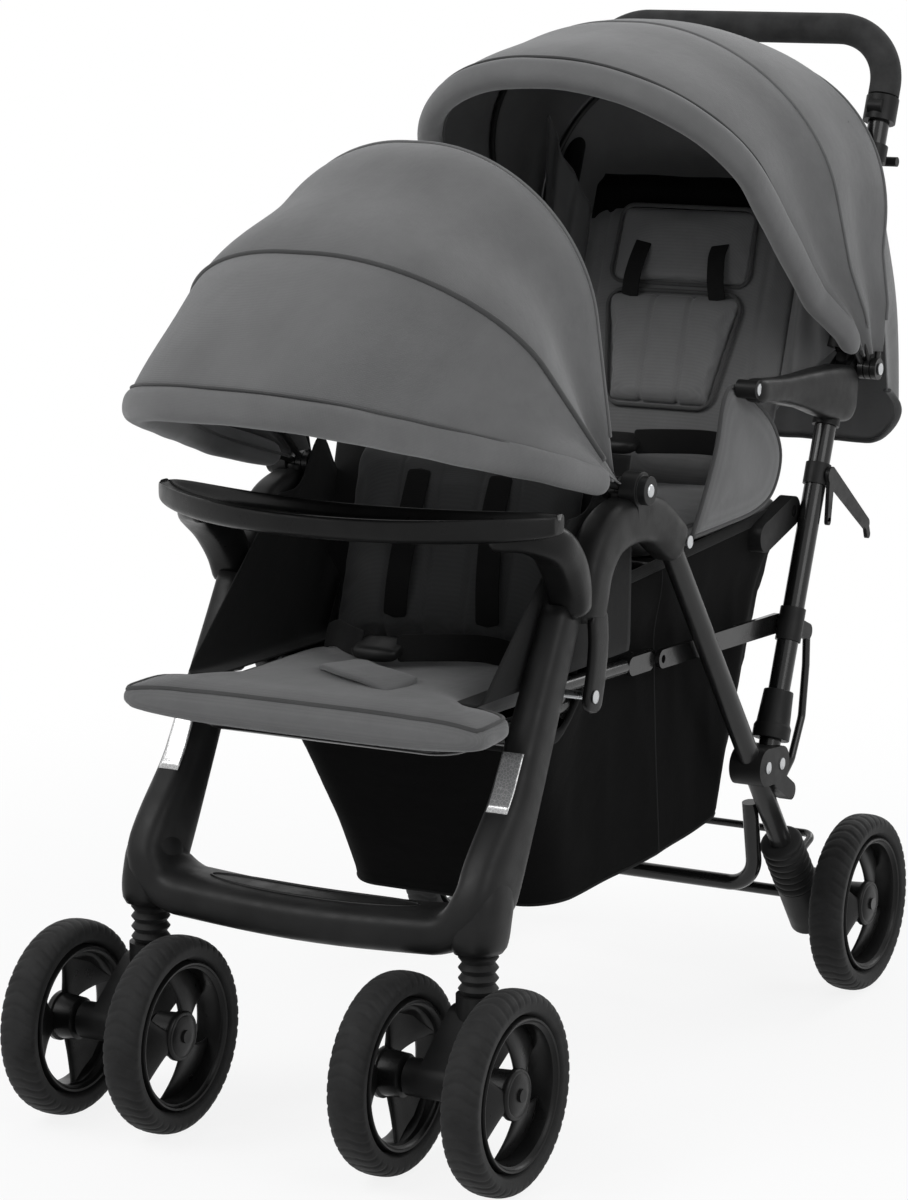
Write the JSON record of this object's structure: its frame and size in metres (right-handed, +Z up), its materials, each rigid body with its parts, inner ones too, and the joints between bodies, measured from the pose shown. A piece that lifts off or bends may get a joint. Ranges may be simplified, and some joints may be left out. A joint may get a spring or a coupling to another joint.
{
  "type": "tandem stroller",
  "caption": "Folding tandem stroller with an inline front and rear seat, hooded canopies, snack tray, fabric basket, twin front casters and a foam push handle.",
  "frame": {"origin": "centre of the bounding box on the floor", "axes": "+Z up, -Y forwards, +X to the stroller's left"},
  "size_m": [0.518, 1.0636, 0.9775],
  "materials": {
    "frame_tube": "gloss black",
    "steel": "satin",
    "moulding": "fine grain",
    "fabric": "plain weave",
    "mesh": "plain weave",
    "foam": "matt",
    "boot": "matt",
    "wheel": "satin",
    "wire": "dull"
  },
  "bodies": {
    "chassis": {"rear_legs": "frame_tube", "rear_crossbar": "frame_tube", "hub_sockets": "moulding", "uprights": "frame_tube", "upright_clamps": "moulding", "armrests": "moulding", "seat_brackets": "moulding", "rear_seat_frame": "frame_tube", "rear_seat_pad": "fabric", "side_wings": "fabric", "frame_rivets": "steel", "basket": "mesh", "rear_bow": "wire", "rear_canopy_cover": "fabric", "rear_flap": "fabric", "rear_harness": "moulding", "rear_boots": "boot"},
    "handle": {"handle_tubes": "frame_tube", "handle_grip": "foam", "hinge_knuckles": "moulding"},
    "collars": {"release_collars": "moulding"},
    "lock_sleeves": {"lock_sleeves": "moulding"},
    "lock_levers": {"lock_levers": "frame_tube"},
    "storage_hook": {"storage_hook": "moulding"},
    "rear_back": {"rear_back_frame": "frame_tube", "rear_back_pad": "fabric"},
    "rear_roll": {"rear_roll_bow": "wire", "rear_roll": "fabric"},
    "rear_mid": {"rear_mid_bow": "wire"},
    "axle_unit": {"rear_axle": "frame_tube", "rear_carriers": "moulding"},
    "brake": {"brake_bar": "frame_tube"},
    "rear_wheel_left": {"rear_wheel_left": "wheel"},
    "rear_wheel_right": {"rear_wheel_right": "wheel"},
    "front_frame": {"arch_brackets": "moulding", "front_legs": "moulding", "pivot_rivets": "steel", "canopy_knobs": "moulding", "front_seat_frame": "frame_tube", "front_seat_pad": "fabric", "front_harness": "moulding", "front_bow": "wire", "front_canopy_cover": "fabric", "caster_boots": "boot"},
    "front_back": {"front_back_frame": "frame_tube", "front_back_pad": "fabric"},
    "front_roll": {"front_roll_bow": "wire", "front_roll": "fabric"},
    "front_mid": {"front_mid_bow": "wire"},
    "tray": {"tray": "moulding"},
    "link_front": {"link_front": "frame_tube"},
    "link_rear": {"link_rear": "steel"},
    "stem_left": {"caster_stem_left": "steel"},
    "fork_left": {"caster_fork_left": "moulding"},
    "wheel_left_outer": {"front_wheel_left_outer": "wheel"},
    "wheel_left_inner": {"front_wheel_left_inner": "wheel"},
    "stem_right": {"caster_stem_right": "steel"},
    "fork_right": {"caster_fork_right": "moulding"},
    "wheel_right_outer": {"front_wheel_right_outer": "wheel"},
    "wheel_right_inner": {"front_wheel_right_inner": "wheel"}
  },
  "joints": [
    {"name": "leg_fold", "type": "hinge", "parent": "chassis", "child": "front_frame", "pos_m": [0, 0.00319, 0.505], "axis": [-1, 0, 0], "range_deg": [-36, 0], "deforming": ["basket"]},
    {"name": "link_front_turn", "type": "hinge", "parent": "front_frame", "child": "link_front", "pos_m": [0, -0.18481, 0.392], "axis": [-1, 0, 0], "range_deg": [-100, 100]},
    {"name": "link_rear_turn", "type": "hinge", "parent": "chassis", "child": "link_rear", "pos_m": [0, 0.28223, 0.37743], "axis": [-1, 0, 0], "range_deg": [-100, 100]},
    {"name": "handle_fold", "type": "hinge", "parent": "chassis", "child": "handle", "pos_m": [0, 0.41295, 0.62348], "axis": [1, 0, 0], "range_deg": [-150, 0]},
    {"name": "collar_slide", "type": "slide", "parent": "handle", "child": "collars", "axis": [0, -0.3714, -0.9285], "range_m": [0, 0.012], "stiffness_N_per_m": 1500, "springref_m": -0.004},
    {"name": "lock_lever_turn", "type": "hinge", "parent": "chassis", "child": "lock_levers", "pos_m": [0, 0.25487, 0.21352], "axis": [-1, 0, 0], "range_deg": [0, 16]},
    {"name": "lock_sleeve_lift", "type": "slide", "parent": "chassis", "child": "lock_sleeves", "axis": [0, 0.3714, 0.9285], "range_m": [0, 0.018]},
    {"name": "storage_hook_turn", "type": "hinge", "parent": "chassis", "child": "storage_hook", "pos_m": [0.187, 0.34016, 0.52228], "axis": [-1, 0, 0], "range_deg": [0, 50]},
    {"name": "rear_recline", "type": "hinge", "parent": "chassis", "child": "rear_back", "pos_m": [0, 0.31119, 0.488], "axis": [-1, 0, 0], "range_deg": [-8, 8]},
    {"name": "rear_canopy_fold", "type": "hinge", "parent": "chassis", "child": "rear_roll", "pos_m": [0, 0.41295, 0.62348], "axis": [-1, 0, 0], "range_deg": [0, 35], "deforming": ["rear_canopy_cover"]},
    {"name": "rear_mid_turn", "type": "hinge", "parent": "chassis", "child": "rear_mid", "pos_m": [0, 0.41295, 0.62348], "axis": [-1, 0, 0], "range_deg": [0, 24], "deforming": ["rear_canopy_cover"]},
    {"name": "rear_suspension", "type": "slide", "parent": "chassis", "child": "axle_unit", "axis": [0, -0.6046, 0.7965], "range_m": [0, 0.01], "stiffness_N_per_m": 20000, "springref_m": -0.01, "deforming": ["rear_boots"]},
    {"name": "brake_step", "type": "hinge", "parent": "axle_unit", "child": "brake", "pos_m": [0, 0.34819, 0.102], "axis": [-1, 0, 0], "range_deg": [0, 16]},
    {"name": "rear_wheel_left_spin", "type": "hinge", "parent": "axle_unit", "child": "rear_wheel_left", "pos_m": [0.236, 0.31819, 0.09], "axis": [1, 0, 0], "continuous": true},
    {"name": "rear_wheel_right_spin", "type": "hinge", "parent": "axle_unit", "child": "rear_wheel_right", "pos_m": [-0.236, 0.31819, 0.09], "axis": [1, 0, 0], "continuous": true},
    {"name": "front_recline", "type": "hinge", "parent": "front_frame", "child": "front_back", "pos_m": [0, -0.12081, 0.366], "axis": [-1, 0, 0], "range_deg": [0, 15]},
    {"name": "front_canopy_fold", "type": "hinge", "parent": "front_frame", "child": "front_roll", "pos_m": [0, -0.09381, 0.567], "axis": [-1, 0, 0], "range_deg": [0, 30], "deforming": ["front_canopy_cover"]},
    {"name": "front_mid_turn", "type": "hinge", "parent": "front_frame", "child": "front_mid", "pos_m": [0, -0.09381, 0.567], "axis": [-1, 0, 0], "range_deg": [0, 20], "deforming": ["front_canopy_cover"]},
    {"name": "tray_slide", "type": "slide", "parent": "front_frame", "child": "tray", "axis": [0, -1, 0], "range_m": [0, 0.05]},
    {"name": "suspension_left", "type": "slide", "parent": "front_frame", "child": "stem_left", "axis": [0, 0, 1], "range_m": [0, 0.012], "stiffness_N_per_m": 9000, "springref_m": -0.012, "deforming": ["caster_boots"]},
    {"name": "swivel_left", "type": "hinge", "parent": "stem_left", "child": "fork_left", "pos_m": [0.172, -0.35681, 0.157], "axis": [0, 0, 1], "continuous": true},
    {"name": "wheel_left_outer_spin", "type": "hinge", "parent": "fork_left", "child": "wheel_left_outer", "pos_m": [0.228, -0.40781, 0.09], "axis": [1, 0, 0], "continuous": true},
    {"name": "wheel_left_inner_spin", "type": "hinge", "parent": "fork_left", "child": "wheel_left_inner", "pos_m": [0.116, -0.40781, 0.09], "axis": [1, 0, 0], "continuous": true},
    {"name": "suspension_right", "type": "slide", "parent": "front_frame", "child": "stem_right", "axis": [0, 0, 1], "range_m": [0, 0.012], "stiffness_N_per_m": 9000, "springref_m": -0.012, "deforming": ["caster_boots"]},
    {"name": "swivel_right", "type": "hinge", "parent": "stem_right", "child": "fork_right", "pos_m": [-0.172, -0.35681, 0.157], "axis": [0, 0, 1], "continuous": true},
    {"name": "wheel_right_outer_spin", "type": "hinge", "parent": "fork_right", "child": "wheel_right_outer", "pos_m": [-0.228, -0.40781, 0.09], "axis": [1, 0, 0], "continuous": true},
    {"name": "wheel_right_inner_spin", "type": "hinge", "parent": "fork_right", "child": "wheel_right_inner", "pos_m": [-0.116, -0.40781, 0.09], "axis": [1, 0, 0], "continuous": true}
  ],
  "couplings": [
    {"joint": "link_front_turn", "follows": "leg_fold", "ratio": -1.7963},
    {"joint": "link_rear_turn", "follows": "leg_fold", "ratio": 1.29},
    {"joint": "lock_sleeve_lift", "follows": "lock_lever_turn", "m_per_rad": 0.06},
    {"joint": "rear_mid_turn", "follows": "rear_canopy_fold", "ratio": 0.6},
    {"joint": "front_mid_turn", "follows": "front_canopy_fold", "ratio": 0.59}
  ]
}
